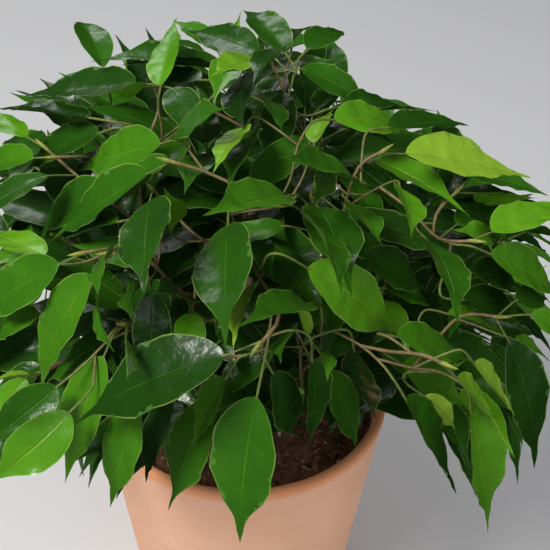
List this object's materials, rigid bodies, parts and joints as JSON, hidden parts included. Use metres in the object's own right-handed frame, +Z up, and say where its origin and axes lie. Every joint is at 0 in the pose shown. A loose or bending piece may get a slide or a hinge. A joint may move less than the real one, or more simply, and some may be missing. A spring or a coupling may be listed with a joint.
{
  "type": "weeping fig",
  "caption": "Small bushy weeping fig with arching twigs and pointed glossy leaves, standing in a tapered clay pot filled with potting mix.",
  "frame": {"origin": "centre of the pot's foot, on the surface that it stands on", "axes": "+Z up along the pot's axis, the side shown in the picture faces -Y"},
  "size_m": [0.2934, 0.2935, 0.3201],
  "materials": {
    "terracotta": "matt fired clay",
    "potting_mix": "moist peat and bark crumbs",
    "foliage": "glossy leaves on pale tan twigs"
  },
  "bodies": {
    "root": {"pot": "terracotta", "soil": "potting_mix", "leafy_stem_1": "foliage", "leafy_stem_2": "foliage", "leafy_stem_3": "foliage", "leafy_stem_4": "foliage", "leafy_stem_5": "foliage"}
  },
  "joints": []
}
